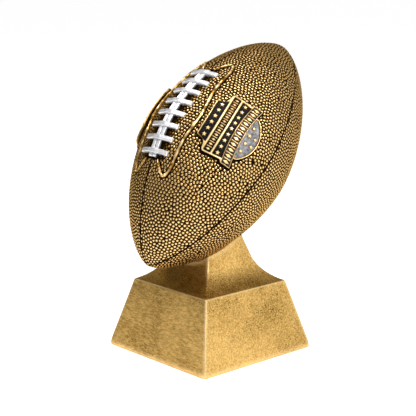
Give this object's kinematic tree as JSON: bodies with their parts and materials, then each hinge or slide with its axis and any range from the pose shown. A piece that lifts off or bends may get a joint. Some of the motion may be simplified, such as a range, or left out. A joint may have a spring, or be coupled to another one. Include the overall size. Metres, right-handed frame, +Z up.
{
  "type": "football trophy",
  "caption": "American-football trophy: a tilted pebbled ball with raised laces and side badges on a square pyramid base with a flared neck, in antique gold.",
  "frame": {"origin": "centre of the underside of the felt pad, on the surface that the trophy stands on", "axes": "+Z up; -Y is the front, which the laces face and the ball's lower tip points to; +X is to the right of someone facing the front; the mirror plane is X = 0"},
  "size_m": [0.0988, 0.1322, 0.2024],
  "materials": {
    "gold_satin": "satin",
    "gold_pebbled": "satin",
    "gold_bright": "satin",
    "silver_lacquer": "satin",
    "black_enamel": "satin",
    "grey_enamel": "satin",
    "zinc_steel": "satin",
    "felt": "matte"
  },
  "bodies": {
    "root": {"base_casting": "gold_satin", "felt_pad": "felt", "ball_shell_front": "gold_pebbled", "ball_shell_rear": "gold_pebbled", "tie_rod": "zinc_steel", "lower_washer": "zinc_steel", "lower_nut": "zinc_steel", "upper_washer": "zinc_steel", "upper_nut": "zinc_steel", "lace_cross_1": "silver_lacquer", "lace_cross_2": "silver_lacquer", "lace_cross_3": "silver_lacquer", "lace_cross_4": "silver_lacquer", "lace_cross_5": "silver_lacquer", "lace_cross_6": "silver_lacquer", "lace_cross_7": "silver_lacquer", "lace_cross_8": "silver_lacquer", "lace_spine_right": "silver_lacquer", "lace_bead_right": "gold_satin", "badge_right_plate": "gold_bright", "badge_right_top_enamel": "black_enamel", "badge_right_title_enamel": "black_enamel", "badge_right_star_enamel": "black_enamel", "badge_right_banner_enamel": "black_enamel", "badge_right_shield_enamel": "grey_enamel", "lace_spine_left": "silver_lacquer", "lace_bead_left": "gold_satin", "badge_left_plate": "gold_bright", "badge_left_top_enamel": "black_enamel", "badge_left_title_enamel": "black_enamel", "badge_left_star_enamel": "black_enamel", "badge_left_banner_enamel": "black_enamel", "badge_left_shield_enamel": "grey_enamel"}
  },
  "joints": []
}
